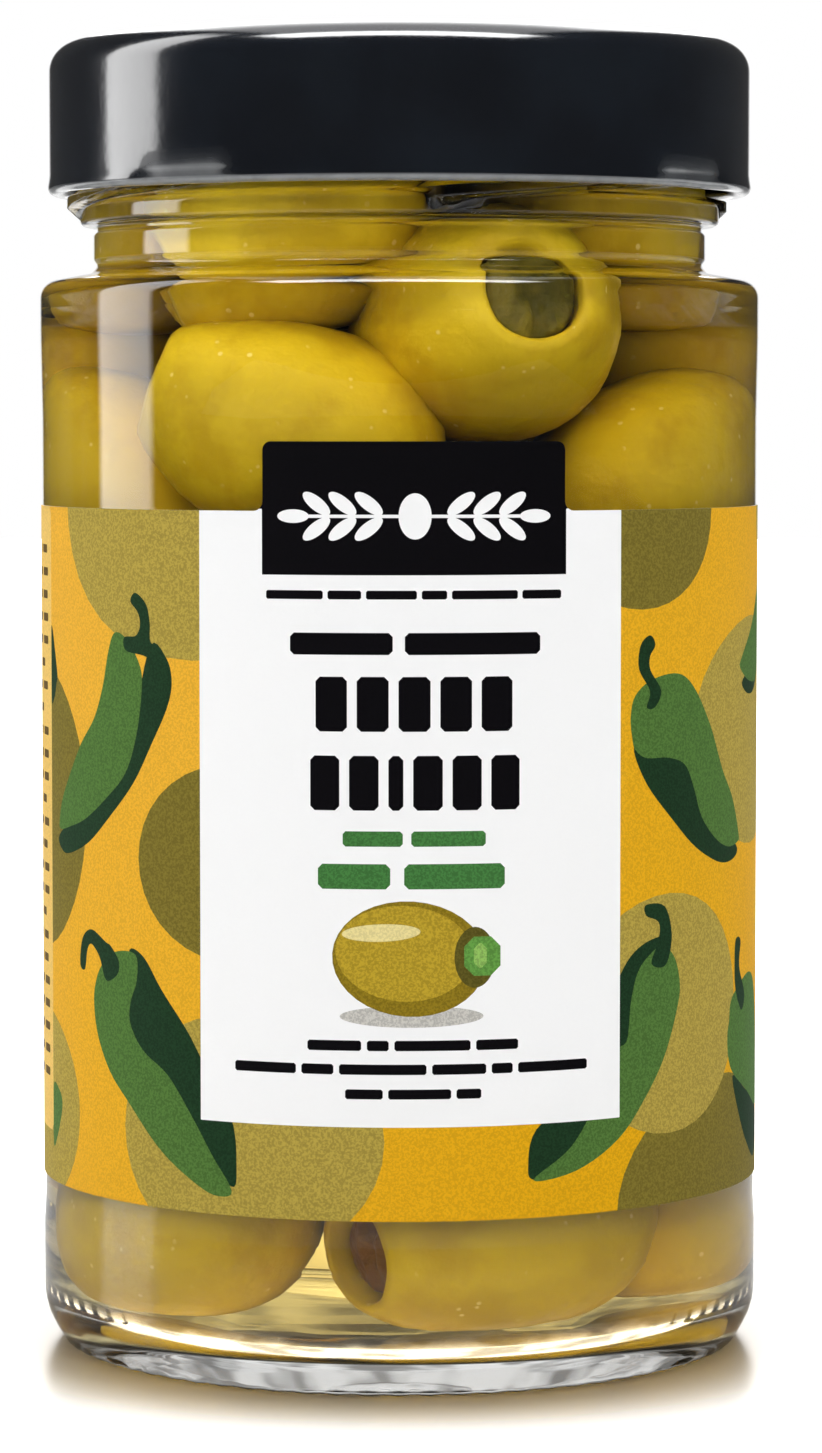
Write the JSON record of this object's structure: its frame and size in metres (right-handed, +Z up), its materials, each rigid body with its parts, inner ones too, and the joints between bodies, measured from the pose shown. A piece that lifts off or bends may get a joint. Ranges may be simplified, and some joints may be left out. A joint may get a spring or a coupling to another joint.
{
  "type": "jar of olives",
  "caption": "Closed cylindrical glass jar of green olives in brine, with a metal twist cap and a wrap-round paper label with a raised tab.",
  "frame": {"origin": "centre of the footprint on the plane the jar stands on", "axes": "+Z up along the jar's axis; the label's tab faces -Y"},
  "size_m": [0.07, 0.0701, 0.1264],
  "materials": {
    "jar_glass": "clear, glossy",
    "brine": "clear yellow liquid",
    "label_paper": "matte printed paper",
    "lid_lacquer": "glossy near-black lacquer"
  },
  "bodies": {
    "root": {"jar": "jar_glass", "brine": "brine", "label": "label_paper", "lid": "lid_lacquer"}
  },
  "joints": []
}
